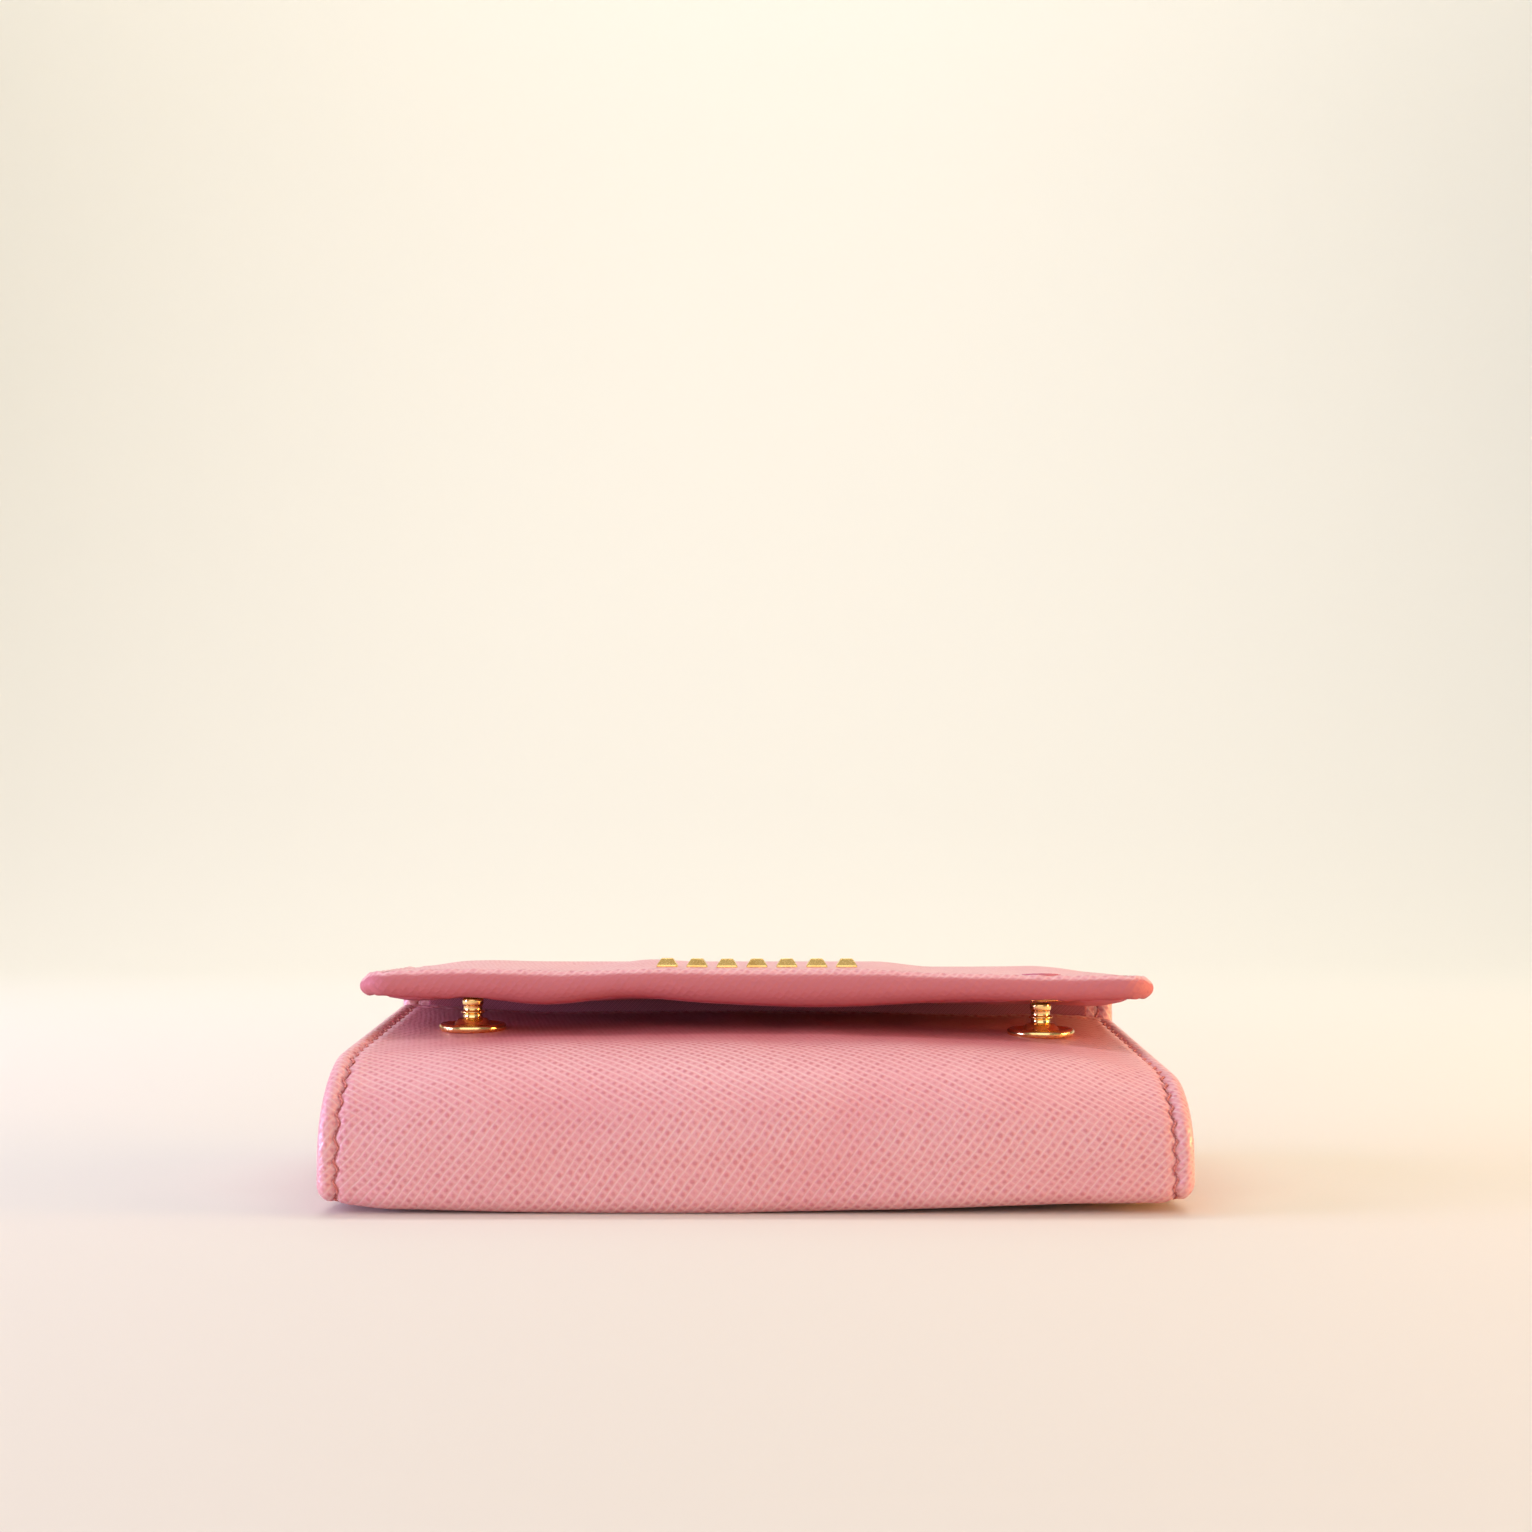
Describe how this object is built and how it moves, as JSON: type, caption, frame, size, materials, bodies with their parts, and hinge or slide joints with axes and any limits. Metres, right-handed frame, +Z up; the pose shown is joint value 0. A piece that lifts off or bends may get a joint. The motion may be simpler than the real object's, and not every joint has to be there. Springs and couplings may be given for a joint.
{
  "type": "flap wallet",
  "caption": "Compact leather flap wallet with a gusseted pouch, press-stud closure and plain metal trim, lying on its back panel.",
  "frame": {"origin": "on the table under the middle of the wallet, which lies on its back panel", "axes": "+X across the wallet to the right as seen from the bottom fold, +Y from the bottom fold to the top spine, +Z up through the flap"},
  "size_m": [0.11, 0.066, 0.0305],
  "materials": {
    "leather_outer": "cross-hatched pink leather, satin",
    "leather_lining": "smooth dark red leather, satin",
    "fabric_lining": "woven twill lining, matt",
    "board": "bonded board, matt",
    "padding": "felted padding, matt",
    "thread": "waxed thread",
    "gold": "polished, gold plated",
    "steel": "spring wire, bright"
  },
  "bodies": {
    "pouch": {"back_panel_leather": "leather_outer", "back_panel_stiffener": "board", "back_panel_lining": "fabric_lining", "back_panel_stitching": "thread", "left_gusset": "leather_lining", "right_gusset": "leather_lining", "centre_divider": "leather_lining", "rear_card_pocket": "leather_lining", "middle_card_pocket": "leather_lining"},
    "front_panel": {"front_panel_leather": "leather_outer", "front_panel_stiffener": "board", "front_panel_lining": "fabric_lining", "front_panel_stitching": "thread", "front_slip_pocket": "leather_lining", "left_snap_stud": "gold", "right_snap_stud": "gold", "left_stud_cap": "gold", "right_stud_cap": "gold"},
    "top_spine": {"top_spine_leather": "leather_outer", "top_spine_stiffener": "board", "top_spine_lining": "fabric_lining", "top_spine_stitching": "thread"},
    "flap": {"flap_leather": "leather_outer", "flap_filler": "padding", "flap_lining": "leather_lining", "flap_stitching": "thread", "left_snap_socket": "gold", "right_snap_socket": "gold", "left_socket_washer": "gold", "right_socket_washer": "gold", "left_ring_spring": "steel", "right_ring_spring": "steel", "flap_trim": "gold", "flap_trim_plate": "gold"}
  },
  "joints": [
    {"name": "spine_fold", "type": "hinge", "parent": "pouch", "child": "top_spine", "pos_m": [0, 0.033, 0.00165], "axis": [-1, 0, 0], "range_deg": [0, 90]},
    {"name": "flap_fold", "type": "hinge", "parent": "top_spine", "child": "flap", "pos_m": [0, 0.033, 0.02768], "axis": [-1, 0, 0], "range_deg": [-4.4, 90], "deforming": ["left_ring_spring", "right_ring_spring"]},
    {"name": "mouth_open", "type": "hinge", "parent": "pouch", "child": "front_panel", "pos_m": [0, -0.033, 0.00685], "axis": [1, 0, 0], "range_deg": [-0.27, 5.4], "deforming": ["left_gusset", "right_gusset"]}
  ],
  "couplings": [
    {"joint": "mouth_open", "follows": "flap_fold", "ratio": 0.06}
  ]
}
